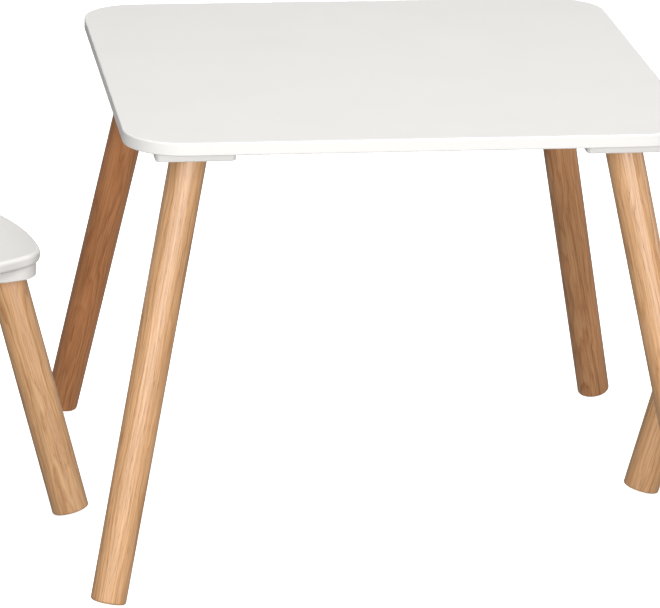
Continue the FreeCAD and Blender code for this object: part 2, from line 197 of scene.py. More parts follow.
# %% [markdown]
# ## Lacquered board
#
# The boards are fibreboard, sanded, filled and sprayed with a satin white lacquer, then
# cured. Sprayed lacquer is never quite flat: it dries with a faint orange peel, a swell about
# two millimetres across and a few thousandths deep, which softens what it reflects. Hands and
# toys leave hair-fine scuffs, and the film is thinnest on the arrises, where the edge darkens
# a little with use. A mesh attribute called "arris" says how near a point is to such an edge.

# %% Satin white lacquer
ORANGE_PEEL = 0.0022         # metres from swell to swell
PEEL_DEPTH = 0.00002
SMUDGE_SIZE = 0.07
SCUFF_WIDTH = 0.0009         # drawn wider than a real hairline, which would not show
SCUFF_LENGTH = 0.03
PRIMER_SPECK = 0.0015


def satin_white_lacquer():
    """Sprayed satin lacquer on fibreboard: warm white, soft gloss, orange peel, worn arrises."""
    material, tree = finish_named("satin_white_lacquer")
    place = add(tree, "TexCoord").outputs["Object"]
    arris = add(tree, "Attribute", attribute_name="arris").outputs["Fac"]
    smudge = add(tree, "TexNoise", {"Vector": place, "Scale": 1 / SMUDGE_SIZE, "Detail": 3.0})
    peel = add(tree, "TexNoise", {"Vector": place, "Scale": 1 / ORANGE_PEEL, "Detail": 1.0})
    speck = add(tree, "TexNoise", {"Vector": place, "Scale": 1 / PRIMER_SPECK, "Detail": 2.0})
    crossed = add(tree, "VectorRotate", {"Vector": place, "Angle": 0.6}, rotation_type="Z_AXIS")
    long_way = add(tree, "VectorMath", {
        0: crossed.outputs["Vector"],
        1: (1 / SCUFF_WIDTH, 1 / SCUFF_LENGTH, 1 / SCUFF_LENGTH),
    }, operation="MULTIPLY")
    scuff = add(tree, "TexNoise", {"Vector": long_way.outputs["Vector"], "Scale": 1.0, "Detail": 2.0})
    scuffs = add(tree, "MapRange", {
        "Value": scuff.outputs["Fac"], "From Min": 0.66, "From Max": 0.78})

    film = add(tree, "ValToRGB", {"Fac": smudge.outputs["Fac"]},
               stops=[(0, "E7E5E2"), (0.5, "E9E7E4"), (1, "EAE8E5")])
    patchy = add(tree, "MapRange", {
        "Value": speck.outputs["Fac"], "From Min": 0.35, "From Max": 0.7})
    worn = add(tree, "Math", {0: arris, 1: patchy.outputs["Result"]}, operation="MULTIPLY")
    wear = add(tree, "Math", {0: worn.outputs["Value"], 1: 0.35}, operation="MULTIPLY")
    colour = add(tree, "Mix", {
        0: wear.outputs["Value"], 6: film.outputs["Color"], 7: linear("D6D1C8"),
    }, data_type="RGBA")

    gloss = add(tree, "MapRange", {
        "Value": smudge.outputs["Fac"], "To Min": 0.36, "To Max": 0.43})
    scuffed = add(tree, "Math", {
        0: scuffs.outputs["Result"], 1: 0.14, 2: gloss.outputs["Result"],
    }, operation="MULTIPLY_ADD")
    swell = add(tree, "Bump", {"Height": peel.outputs["Fac"], "Distance": PEEL_DEPTH, "Strength": 1.0})
    lacquer = add(tree, "BsdfPrincipled", {
        "Base Color": colour.outputs[2], "Roughness": scuffed.outputs["Value"],
        "IOR": 1.5, "Normal": swell.outputs["Normal"],
    })
    add(tree, "OutputMaterial", {"Surface": lacquer.outputs["BSDF"]})
    return material


print(f"orange peel: {1e3 * ORANGE_PEEL:.1f} mm from swell to swell, {1e6 * PEEL_DEPTH:.0f} microns deep")

# %% [markdown]
# ## Clear-lacquered oak
#
# The legs and posts are turned from light oak and sealed with a clear satin lacquer. Wood is
# a solid, so its pattern should be solid too: growth rings are cylinders round a pith, and a
# leg is a slim rod cut from somewhere beside it. Where the rod's skin crosses the rings
# squarely they show as fine straight lines, and where it grazes them they open into long
# flames. Working in the rod's own measures, with the third one along the grain, gives all of
# this at once, with end grain at the foot. Each mesh therefore carries an attribute,
# "grain_place", that says where in the log each point was.

# %% Clear-lacquered oak
RING_SPACING = 0.0042        # metres of growth in a year
RING_WANDER = 0.0140         # how far rings stray from true circles
WANDER_WIDTH = 0.030
WANDER_LENGTH = 0.16
FIBRE_WIDTH = 0.0011
FIBRE_LENGTH = 0.06
PATCH_WIDTH = 0.012
PATCH_LENGTH = 0.12
PORE_WIDTH = 0.0007          # real pores are 0.3 mm; these are as fine as still shows
PORE_LENGTH = 0.012
PORE_DEPTH = 0.00008


def clear_lacquered_oak():
    """Turned oak under clear satin lacquer: rings, fibres and open pores in solid space."""
    material, tree = finish_named("clear_lacquered_oak")
    place = add(tree, "Attribute", attribute_name="grain_place").outputs["Vector"]
    # Painted shade: a mark set on the rear table legs only darkens a whole rod, standing in for the shade
    # under the top.
    painted_shade_input = add(tree, "Attribute", attribute_name="painted_shade_level").outputs["Fac"]

    def along_grain(width, length, detail, distortion=0.0):
        """Noise that is so many metres wide across the grain and so long with it."""
        scaled = add(tree, "VectorMath", {
            0: place, 1: (1 / width, 1 / width, 1 / length)}, operation="MULTIPLY")
        return add(tree, "TexNoise", {
            "Vector": scaled.outputs["Vector"], "Scale": 1.0, "Detail": detail, "Distortion": distortion})

    wander = along_grain(WANDER_WIDTH, WANDER_LENGTH, 3.0)
    centred = add(tree, "VectorMath", {
        0: wander.outputs["Color"], 1: (0.5, 0.5, 0.5)}, operation="SUBTRACT")
    strayed = add(tree, "VectorMath", {
        0: centred.outputs["Vector"], 1: (2 * RING_WANDER, 2 * RING_WANDER, 0.0), 2: place,
    }, operation="MULTIPLY_ADD")
    flat = add(tree, "VectorMath", {
        0: strayed.outputs["Vector"], 1: (1, 1, 0)}, operation="MULTIPLY")
    from_pith = add(tree, "VectorMath", {0: flat.outputs["Vector"]}, operation="LENGTH")
    years = add(tree, "Math", {
        0: from_pith.outputs["Value"], 1: RING_SPACING}, operation="DIVIDE").outputs["Value"]
    season = add(tree, "Math", {0: years}, operation="FRACT").outputs["Value"]
    year = add(tree, "Math", {0: years}, operation="FLOOR").outputs["Value"]
    vigour = add(tree, "TexWhiteNoise", {"W": year}, noise_dimensions="1D").outputs["Value"]
    fibre = along_grain(FIBRE_WIDTH, FIBRE_LENGTH, 3.0).outputs["Fac"]
    pore = along_grain(PORE_WIDTH, PORE_LENGTH, 1.0).outputs["Fac"]
    patch = along_grain(PATCH_WIDTH, PATCH_LENGTH, 3.0, 1.2).outputs["Fac"]

    growth = add(tree, "ValToRGB", {"Fac": season}, stops=[
        (0, "B07444"), (0.12, "CC9560"), (0.4, "E8B786"), (0.8, "F0C493"), (1, "CA925D")])
    ring_show = add(tree, "MapRange", {"Value": vigour, "To Min": 0.15, "To Max": 0.75})
    ringed = add(tree, "Mix", {
        0: ring_show.outputs["Result"], 6: linear("E8B685"), 7: growth.outputs["Color"],
    }, data_type="RGBA")
    streak = add(tree, "ValToRGB", {"Fac": fibre}, stops=[
        (0, "A8A8A8"), (0.40, "D2D2D2"), (0.5, "EAEAEA"), (0.60, "F8F8F8"), (1, "FFFFFF")])
    fibred = add(tree, "Mix", {
        0: 0.75, 6: ringed.outputs[2], 7: streak.outputs["Color"],
    }, data_type="RGBA", blend_type="MULTIPLY")
    cloud = add(tree, "ValToRGB", {"Fac": patch}, stops=[
        (0, "C9B5A5"), (0.5, "F2ECE6"), (1, "FFFFFF")])
    clouded = add(tree, "Mix", {
        0: 0.6, 6: fibred.outputs[2], 7: cloud.outputs["Color"],
    }, data_type="RGBA", blend_type="MULTIPLY")
    # Painted shade: that mark multiplies a warm brown into the wood.
    painted_shade_mix = add(tree, "Mix", {
        0: painted_shade_input, 6: clouded.outputs[2], 7: linear("E4C8B4"),
    }, data_type="RGBA", blend_type="MULTIPLY")

    open_pore = add(tree, "MapRange", {"Value": pore, "From Min": 0.60, "From Max": 0.70})
    early = add(tree, "MapRange", {
        "Value": season, "From Min": 0.55, "From Max": 0.1, "To Min": 0.25, "To Max": 1.0})
    pores = add(tree, "Math", {
        0: open_pore.outputs["Result"], 1: early.outputs["Result"]}, operation="MULTIPLY")
    pore_shade = add(tree, "Math", {0: pores.outputs["Value"], 1: 0.5}, operation="MULTIPLY")
    colour = add(tree, "Mix", {
        0: pore_shade.outputs["Value"], 6: painted_shade_mix.outputs[2], 7: linear("7A4A26"),
    }, data_type="RGBA")

    gloss = add(tree, "MapRange", {"Value": fibre, "To Min": 0.5, "To Max": 0.36})
    rough = add(tree, "Math", {
        0: pores.outputs["Value"], 1: 0.2, 2: gloss.outputs["Result"]}, operation="MULTIPLY_ADD")
    relief = add(tree, "Math", {
        0: pores.outputs["Value"], 1: -1.0, 2: fibre}, operation="MULTIPLY_ADD")
    grooves = add(tree, "Bump", {
        "Height": relief.outputs["Value"], "Distance": PORE_DEPTH, "Strength": 0.6})
    lacquered = add(tree, "BsdfPrincipled", {
        "Base Color": colour.outputs[2], "Roughness": rough.outputs["Value"], "IOR": 1.5,
        "Specular IOR Level": 0.3, "Coat Weight": 0.7, "Coat Roughness": 0.28,
        "Normal": grooves.outputs["Normal"],
    })
    add(tree, "OutputMaterial", {"Surface": lacquered.outputs["BSDF"]})
    return material


print(f"growth rings: {1e3 * RING_SPACING:.1f} mm apart; fibres: {1e3 * FIBRE_WIDTH:.1f} mm wide")

# %% [markdown]
# ## Bare metals
#
# The screws and hanger bolts are steel under a thin, bright zinc plating, with a faint bluish
# and straw-coloured mottle. The threaded inserts are cut from brass, which dulls in patches
# and keeps the lathe tool's fine marks. Each could be one flat colour, but patches that tint
# and dull together are what tell a used metal from a new one. So one function makes both,
# with a coarse noise for the patches and a fine one for the marks.

# %% Zinc-plated steel and turned brass
METAL_PATCH = 0.004          # metres
METAL_MARK = 0.0004
METAL_MARK_DEPTH = 0.00001
ZINC_TINTS = [(0, "AEB6BE"), (0.5, "C6C8C8"), (1, "D2CDB8")]
BRASS_TINTS = [(0, "A98346"), (1, "D9B872")]


def bare_metal(name, patch_detail, mark_detail, tints, rough_from, rough_to):
    """Metal whose tint and roughness change together from patch to patch, finely marked."""
    material, tree = finish_named(name)
    place = add(tree, "TexCoord").outputs["Object"]
    patch = add(tree, "TexNoise", {"Vector": place, "Scale": 1 / METAL_PATCH, "Detail": patch_detail})
    marks = add(tree, "TexNoise", {"Vector": place, "Scale": 1 / METAL_MARK, "Detail": mark_detail})
    tint = add(tree, "ValToRGB", {"Fac": patch.outputs["Fac"]}, stops=tints)
    rough = add(tree, "MapRange", {
        "Value": patch.outputs["Fac"], "To Min": rough_from, "To Max": rough_to})
    fine = add(tree, "Bump", {
        "Height": marks.outputs["Fac"], "Distance": METAL_MARK_DEPTH, "Strength": 0.5})
    metal = add(tree, "BsdfPrincipled", {
        "Base Color": tint.outputs["Color"], "Metallic": 1.0,
        "Roughness": rough.outputs["Result"], "Normal": fine.outputs["Normal"],
    })
    add(tree, "OutputMaterial", {"Surface": metal.outputs["BSDF"]})
    return material


print(f"metals: patches of {1e3 * METAL_PATCH:.0f} mm, marks {1e3 * METAL_MARK:.1f} mm apart")

# %% [markdown]
# ## Moulded plastic
#
# The caps over the backrest screws are moulded polypropylene. The mould is spark-eroded, and
# the plastic's skin copies its fine, even grain, which is why a cap looks softer than the
# lacquer beside it. This is the last finish, so all five are made here, by slot.

# %% Moulded white plastic, and all five finishes
MOULD_GRAIN = 0.0005
MOULD_GRAIN_DEPTH = 0.00002


def moulded_white_plastic():
    """Injection-moulded polypropylene: soft matt white with the mould's fine texture."""
    material, tree = finish_named("moulded_white_plastic")
    place = add(tree, "TexCoord").outputs["Object"]
    grain = add(tree, "TexNoise", {"Vector": place, "Scale": 1 / MOULD_GRAIN, "Detail": 2.0})
    tint = add(tree, "ValToRGB", {"Fac": grain.outputs["Fac"]}, stops=[(0, "DAD8D2"), (1, "E8E6E1")])
    rough = add(tree, "MapRange", {"Value": grain.outputs["Fac"], "To Min": 0.42, "To Max": 0.55})
    skin = add(tree, "Bump", {
        "Height": grain.outputs["Fac"], "Distance": MOULD_GRAIN_DEPTH, "Strength": 0.6})
    plastic = add(tree, "BsdfPrincipled", {
        "Base Color": tint.outputs["Color"], "IOR": 1.49,
        "Roughness": rough.outputs["Result"], "Normal": skin.outputs["Normal"],
    })
    add(tree, "OutputMaterial", {"Surface": plastic.outputs["BSDF"]})
    return material


FINISHES = {
    "white_lacquered_board": satin_white_lacquer(),
    "oiled_wood": clear_lacquered_oak(),
    "zinc_plated_steel": bare_metal("zinc_plated_steel", 3.0, 2.0, ZINC_TINTS, 0.25, 0.45),
    "brass_insert": bare_metal("turned_brass", 2.0, 1.0, BRASS_TINTS, 0.42, 0.25),
    "white_plastic_cap": moulded_white_plastic(),
}
for slot, material in FINISHES.items():
    print(f"{slot}: {material.name}, {len(material.node_tree.nodes)} nodes")

# %% [markdown]
# ## Surfaces from rings
#
# Every part of this set was sawn, turned or drilled, so every surface can be described by
# rings: a lathe's rings round an axis, or a router's laps round a board. A ring is a row of
# points, and a stack of rings is one numpy array. One function joins neighbouring rings with
# quads and closes the two ends. All sizes here are in millimetres, as on a maker's drawing,
# and a mesh is turned to metres only when it is laid in its place.

# %% Stacks of rings
def surface(shells, tube=False):
    """Points and faces of closed shells, each an array of rings (rows, columns, xyz).

    Columns run anticlockwise seen from the last row's end. Rows run from the bottom's middle
    outwards, up the side and in over the top, so each quad between two rows and two columns
    faces out. One flat face closes each end, or with tube the last row joins the first.
    """
    points, faces, start = [], [], 0
    for rings in shells:
        index = start + np.arange(rings.shape[0] * rings.shape[1]).reshape(rings.shape[:2])
        start = index.max() + 1
        points.append(rings.reshape(-1, 3))
        if tube:
            index = np.vstack([index, index[:1]])
        else:
            faces += [index[0, ::-1].tolist(), index[-1].tolist()]
        onward = np.roll(index, -1, axis=1)
        quads = np.stack([index[:-1], onward[:-1], onward[1:], index[1:]], axis=-1)
        faces += quads.reshape(-1, 4).tolist()
    return np.vstack(points), faces


def turned_on_lathe(heights, radii, columns=32):
    """Rings round the Z axis: radius times (cos, sin) of the angle, each at its height.

    A height or radius is one number for a ring, or one for each of its points.
    """
    angle = np.arange(columns) * 2 * np.pi / columns
    radii, heights = (np.array(v, float).reshape(len(v), -1) + 0 * angle for v in (radii, heights))
    return np.stack([radii * np.cos(angle), radii * np.sin(angle), heights], axis=-1)


def carried(rings, origin, axes):
    """The rings with their own X, Y and Z laid along the rows of axes, from an origin."""
    return rings @ np.array(axes) + np.array(origin)


print("a rod of 2 rings:", [len(part) for part in surface([turned_on_lathe([0, 9], [2, 2])])],
      "points and faces")

# %% [markdown]
# ## Board outlines
#
# The table top and the blocks are squares with rounded corners. The seats and backrests are
# squarer than they look: each side bows out on a long radius, and a tighter arc joins one
# side to the next. Both outlines are arcs, so both are written the same way: for every
# direction the edge can face, an arc's centre plus its radius in that direction. Drawing the
# outline in by some distance is then only a smaller radius.

# %% Outlines
def square_outline(side, corner, columns=96):
    """Each point is its corner's centre plus the corner radius times its direction."""
    angle = (np.arange(columns) + 0.5) * 2 * np.pi / columns
    way = np.column_stack([np.cos(angle), np.sin(angle)])
    return np.sign(way) * (side / 2 - corner), np.full((columns, 1), corner), way


def bowed_outline(width, depth, corner, bow, columns=192):
    """The same, with three arcs in each quarter: a side, a corner and a side.

    The sides' circles have the bow's radius and their centres on the axes. The corner's
    centre lies bow - corner from both of those, where two such circles cross.
    """
    angle = np.arange(columns) * 2 * np.pi / columns
    way = np.column_stack([np.cos(angle), np.sin(angle)])
    side, end = np.array([width / 2 - bow, 0]), np.array([0, depth / 2 - bow])
    apart = end - side
    half = np.linalg.norm(apart) / 2
    across = np.array([-apart[1], apart[0]]) / (2 * half)
    across *= np.sign(across.sum())
    middle = (side + end) / 2 + across * math.sqrt((bow - corner) ** 2 - half ** 2)
    folded = np.arctan2(abs(way[:, 1:]), abs(way[:, :1]))
    on_side = folded < math.atan2(*(middle - side)[::-1])
    on_end = folded > math.atan2(*(middle - end)[::-1])
    centre = np.select([on_side, on_end], [side, end], middle)
    return np.sign(way.round(9)) * centre, np.where(on_side | on_end, bow, corner), way


EXTRA_LAP = 0.4          # mm beyond an arris, to keep the flat beside it flat in the light


def board(outline, thickness, low_round, top_round, steps=5):
    """Laps round an outline: the underside, the lower arris, the edge, the upper arris, the top.

    An arris is a quarter circle of angle t: it starts drawn in by its radius and ends on the
    edge. An extra lap lies just beyond each arris.
    """
    centre, radius, way = outline
    t, u = (np.linspace(0, np.pi / 2, steps + 1) * (r > 0) for r in (low_round, top_round))
    t, u = np.unique(t), np.unique(u)              # a sharp arris has one lap
    inset = [[low_round + EXTRA_LAP], low_round * (1 - np.sin(t)), [0, 0],
             top_round * (1 - np.cos(u)), [top_round + EXTRA_LAP]]
    height = [[0], low_round * (1 - np.cos(t)),
              [low_round + EXTRA_LAP, thickness - top_round - EXTRA_LAP],
              thickness - top_round * (1 - np.sin(u)), [thickness]]
    inset, height = (np.concatenate(part)[:, None, None] for part in (inset, height))
    flat = centre + (radius - inset) * way
    return np.concatenate([flat, height + 0 * flat[..., :1]], axis=-1)


trial = bowed_outline(310, 310, 52, 350)
print("bowed outline reaches", (trial[0] + trial[1] * trial[2]).max(axis=0).round(2), "mm")

# %% [markdown]
# ## Drilling and laying in place
#
# A hole is drilled with Blender's Boolean: the drill is a surface of its own, and the
# difference is what it leaves. The Exact solver copes with faces that lie in one plane, which
# happens wherever parts meet. The result is taken as a new mesh, so no modifier stays live.
#
# A piece is made round its own origin and then laid in its furniture, and the furniture on
# the floor. The chairs' places are read from the frame: a seat's middle is its box's middle,
# and a chair slides straight back from the table, so its joint's axis says where it faces.
# The piece then hides its CAD node, rides its furniture's body and takes the finish made for its slot.

# %% Drills and places
def solid_mesh(points, faces):
    """A mesh of a closed surface, with points that fall together made one."""
    mesh = bpy.data.meshes.new("solid")
    mesh.from_pydata(points.tolist(), [], faces)
    work = bmesh.new()
    work.from_mesh(mesh)
    bmesh.ops.remove_doubles(work, verts=work.verts, dist=1e-4)
    work.to_mesh(mesh)
    work.free()
    return mesh


def drilled(points, faces, drills):
    """What is left of a surface when the drills' shells are taken out of it."""
    blank, drill = solid_mesh(points, faces), solid_mesh(*surface(drills))
    work, tool = (bpy.data.objects.new(mesh.name, mesh) for mesh in (blank, drill))
    for item in (work, tool):
        bpy.context.scene.collection.objects.link(item)
    cut = work.modifiers.new("cut", "BOOLEAN")
    cut.operation, cut.solver, cut.use_self, cut.object = "DIFFERENCE", "EXACT", True, tool
    bpy.context.view_layer.update()
    left = bpy.data.meshes.new_from_object(work.evaluated_get(bpy.context.evaluated_depsgraph_get()))
    for item in (work, tool):
        bpy.data.objects.remove(item)
    return left


def furniture_place(body):
    """Where a piece of furniture stands: its body, its origin in mm and its axes."""
    if body == "table":
        return body, np.zeros(3), np.eye(3)
    low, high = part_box(body + "_seat")
    joint = next(j for j in frame["record"]["behaviour"]["joints"] if j["child"] == body)
    facing = -Vector(joint["axis"])
    origin = np.array([(low.x + high.x) * 500, (low.y + high.y) * 500, 0])
    return body, origin, np.array([facing, Vector((0, 0, 1)).cross(facing), (0, 0, 1)])


def lay(part, furniture, slot, shells, drills=(), origin=(0, 0, 0), axes=np.eye(3), marks=None,
        tube=False):
    """Makes the piece for the CAD node that is called after its furniture and the part.

    Marks are functions of the piece's own points, and are kept as mesh attributes.
    """
    body, furniture_origin, furniture_axes = furniture
    node = f"{body}_{part}"
    points, faces = surface(shells, tube)
    if drills:
        mesh = drilled(points, faces, drills)
    else:
        mesh = solid_mesh(points, faces)
    points = np.empty(3 * len(mesh.vertices))
    mesh.vertices.foreach_get("co", points)
    points = points.reshape(-1, 3)
    for name, mark in (marks or {}).items():
        values = mark(points)
        kind, field = ("FLOAT_VECTOR", "vector") if values.ndim == 2 else ("FLOAT", "value")
        mesh.attributes.new(name, kind, "POINT").data.foreach_set(field, values.ravel())
    placed = carried(carried(points, origin, axes), furniture_origin, furniture_axes) / 1000
    mesh.vertices.foreach_set("co", placed.ravel())
    mesh.shade_smooth()
    mesh.set_sharp_from_angle(angle=math.radians(35))
    mesh.materials.clear()
    mesh.materials.append(FINISHES[slot])
    mesh.update()
    piece = bpy.data.objects.new(node + "_piece", mesh)
    bpy.context.scene.collection.objects.link(piece)
    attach(piece, body)
    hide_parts(node)
    box = np.array(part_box(node))
    off = abs(np.array([placed.min(axis=0), placed.max(axis=0)]) - box).max() * 1000
    print(f"{node}: {len(mesh.polygons)} faces, within {off:.2f} mm of the CAD box")


TABLE = furniture_place("table")
CHAIRS = {body: furniture_place(body) for body in ("left_chair", "right_chair")}
for body, origin, axes in CHAIRS.values():
    print(body, "stands at", origin.round(1), "and faces", axes[0].round(3))

# %% [markdown]
# ## Screws, bolts and inserts
#
# The hardware is turned and rolled. A thread is a ridge that climbs as it goes round, so the
# radius at any point depends on the height and the angle together: how far that point is
# along its turn says whether it is on a crest or in the groove. The crossed recess in a head
# is pressed in, and here it is a change of height instead. Most of this is hidden in the
# wood, but each part is separate in life and can be taken out here too.

# %% Hardware, in millimetres
SCREW = (2.0, 4.0, 2.5)              # radius, radius of the head, height of the head
SCREW_PITCH = 1.8
BLOCK_SCREW_LENGTH = 24.0
PANEL_SCREW_LENGTH = 26.0            # holds the backrest
POST_SCREW = (2.5, 5.0, 2.5)         # the same sizes of the larger screw into a post
POST_SCREW_LENGTH = 38.0
POST_SCREW_PITCH = 2.2
BOLT_RADIUS = 4.0
INSERT_RADIUS = 6.0
CLEARANCE = 0.05                     # round every screw, bolt, insert and post
DRILL_START = 5.0                    # how far outside the wood a drill starts


def threaded(radius, low, high, pitch, depth, steps=6, columns=24):
    """Heights and radii of a thread: the crest's radius less the depth times a zigzag.

    The zigzag is 0 on the crest and 1 in the groove. It runs once through in each pitch, and
    turns once with the angle, and it fades out within half a pitch of either end.
    """
    rows = max(2, round((high - low) / pitch * steps))
    height = np.linspace(low, high, rows)[:, None]
    turn = np.arange(columns) / columns
    zigzag = 1 - abs(2 * ((height / pitch - turn) % 1) - 1)
    fade = np.clip(np.minimum(height - low, high - height) / (pitch / 2), 0, 1)
    return height + 0 * turn, radius - depth * zigzag * fade


def recessed(radii, columns, span, width, depth):
    """Heights of a head's face: depth inside either arm of a cross, 0 outside, and a soft edge."""
    angle = np.arange(columns) * 2 * np.pi / columns
    x, y = (abs(np.outer(radii, f(angle))) for f in (np.cos, np.sin))
    near, far = np.minimum(x, y), np.maximum(x, y)
    return depth * np.clip((width / 2 - near) / 0.2 + 0.5, 0, 1) * np.clip((span / 2 - far) / 0.2, 0, 1)


def stacked(parts, columns):
    """Rings from (heights, radii) parts, one after another."""
    heights, radii = (
        np.concatenate([np.array(part[i], float).reshape(len(part[i]), -1) + np.zeros(columns)
                        for part in parts]) for i in (0, 1))
    return turned_on_lathe(heights, radii, columns)


def screw(radius, head_radius, head_height, length, pitch, countersunk=True, columns=24):
    """A screw along +Z with its head's underside, or its countersunk face, at Z = 0.

    The face has ten rings out to nine tenths of the head, and its cross is 0.9 mm wide, 1.5 mm
    deep and spans 55% of the head. The thread is cut to 22% of the radius, and the tip tapers.
    """
    span = 2 * head_radius * 0.55
    dial = np.linspace(0.15, head_radius * 0.9, 10)
    face = recessed(dial, columns, span, 0.9, 1.5)
    if countersunk:
        head = [(face, dial), ([0, head_height], [head_radius, radius])]
        shank = head_height
    else:
        head = [(face - head_height, dial),
                ([-head_height, 0.3 - head_height, 0], [head_radius - 0.3, head_radius, head_radius]),
                ([0], [radius])]
        shank = 0.0
    tip = length - radius
    return stacked([*head, threaded(radius, shank + 0.3, tip, pitch, 0.22 * radius),
                    ([length], [radius / 3])], columns)


def hanger_bolt(radius, length, wood_length, chamfer, columns=24):
    """A bolt along +Z: a coarse thread for the wood, a plain collar and a fine one above."""
    return stacked([
        ([0], [radius - chamfer]),
        threaded(radius, chamfer, wood_length - 3, 3.0, 0.8),
        threaded(radius, wood_length, length - chamfer, 1.25, 0.5),
        ([length], [radius - chamfer]),
    ], columns)


def insert_nut(outer, inner, length, columns=24):
    """A ring along +Z, threaded outside for the wood and inside for the bolt."""
    height, radius = threaded(outer, 0, length, 2.5, 0.7)
    bore_height, bore = threaded(inner, 0, length, 1.25, -0.4)
    return stacked([(height, radius), (bore_height[::-1], bore[::-1])], columns)


def countersunk_drill(radius, head_radius, head_height, length):
    """The space a countersunk screw needs, starting well outside the wood."""
    radii = np.array([head_radius, head_radius, radius, radius])
    return turned_on_lathe([-6, 0, head_height, length], radii + CLEARANCE)


def straight_drill(radius, low, high, columns=32):
    """The space of a round hole between two heights."""
    return turned_on_lathe([low, high], [radius + CLEARANCE] * 2, columns)


print("block screw:", screw(*SCREW, BLOCK_SCREW_LENGTH, SCREW_PITCH).shape[0], "rings")

# %% [markdown]
# ## Legs
#
# Each leg is a straight turned rod that leans out on the diagonal. It is cut level where it
# meets its block and square at the foot, with the foot's edge eased so that it does not
# splinter. The leg could be a stretched cylinder with its top sliced off by a Boolean. Worked
# out as rings it needs no slice: on the level cut, a point's height along the leg is its
# sideways lean times the tangent of the splay.

# %% A leg, in millimetres
SPLAY = math.radians(15.7)
FOOT_ROUNDING = 2.5
BOLT_DEPTH = 42.0


def leg_axes(corner):
    """A leg's own X, level and across its lean, Y up the diagonal, and Z up the leg."""
    out = np.array([corner[0], corner[1], 0]) / math.sqrt(2)
    up = np.array([0, 0, math.cos(SPLAY)]) - math.sin(SPLAY) * out
    across = np.array([-out[1], out[0], 0])
    return np.array([across, np.cross(up, across), up])


def splayed_leg(underside, top_radius, foot_radius, columns=96):
    """A leg along its own Z, with the middle of its level top at 0 and its foot far below.

    Rows: the foot's face, its quarter round of angle t, the tapering side, the level cut at a
    height of radius times sin(angle) times tan(splay), and the bolt's hole down to its end.
    """
    drop = (foot_radius - FOOT_ROUNDING) * math.sin(SPLAY) + FOOT_ROUNDING
    length = FOOT_ROUNDING + (underside - drop) / math.cos(SPLAY)
    t = np.linspace(0, np.pi / 2, 6)
    lean = np.sin(np.arange(columns) * 2 * np.pi / columns) * math.tan(SPLAY)
    hole = BOLT_RADIUS + CLEARANCE
    cut = [top_radius, top_radius - EXTRA_LAP, hole]
    way_up = np.linspace(FOOT_ROUNDING - length + EXTRA_LAP, -top_radius, 12)
    side = top_radius + way_up * (top_radius - foot_radius) / length
    return stacked([
        ([-length], [foot_radius - FOOT_ROUNDING - EXTRA_LAP]),
        (FOOT_ROUNDING * (1 - np.cos(t)) - length, foot_radius - FOOT_ROUNDING * (1 - np.sin(t))),
        (way_up, side),
        (np.outer(cut, lean), cut),
        ([-BOLT_DEPTH], [hole]),
    ], columns)


print("a leg's axes, one per row:", leg_axes((1, 1)).round(3).tolist())

# %% [markdown]
# ## Marks that the finishes read
#
# A finish can follow a piece only if the mesh tells it how. A rod's mark says where in its
# log each point was, so that the rings run through it; another is painted shade, which darkens a whole
# rod.
# A board's mark says how near a point is to an arris. Each mark here is a function of a
# piece's own points, worked out before the piece is laid in its place.

# %% Marks
# How much painted shade a rod gets: none, or the most, which goes to the rear table legs in the shade of
# the top.
NO_PAINTED_SHADE, FULL_PAINTED_SHADE = 0.0, 1.0


def grain(log_angle, log_radius, along):
    """Where in its log each point of a turned rod was, in metres from a point of the pith."""
    shift = np.array([log_radius * math.cos(log_angle), log_radius * math.sin(log_angle), along])
    return lambda points: (points + shift) / 1000


def painted_shade_on_rod(painted_shade_depth):
    """Painted shade over a whole rod, from 0 for none to 1 for the darkest."""
    return lambda points: np.full(len(points), float(painted_shade_depth))


def edge_wear(thickness, rounding):
    """1 half way round an arris, and 0 on the flats and the edge."""
    return lambda points: np.clip(
        1 - abs(2 * np.minimum(points[:, 2], thickness - points[:, 2]) / rounding - 1), 0, 1)


print("wear on a 1.5 mm arris, half way round it:", edge_wear(14, 1.5)(np.array([[0, 0, 0.75]]))[0])

# %% [markdown]
# ## Under a board
#
# Table and chairs are put together alike. A hanger bolt, wood screw below and machine screw
# above, joins each leg to a threaded insert in a block, and the block is screwed to the board
# from below. The insert is bored at the leg's own slant and aimed at the middle of the
# block's top, so the leg comes out of the block a little off its middle. One function makes
# all of it for a board's four corners.

# %% Blocks, legs and their hardware, in millimetres
BLOCK_THICKNESS = 15.0
BLOCK_ROUNDING = 1.5
LEG_SHIFT = BLOCK_THICKNESS * math.tan(SPLAY) / math.sqrt(2)    # along X and Y, through the block
INSERT_START, INSERT_END = 6 * math.tan(SPLAY) + 0.3, 12.0
BOLT_LENGTH = BOLT_DEPTH + 11
SCREW_SINK = 0.3
PILOT_DEPTH = 9.3


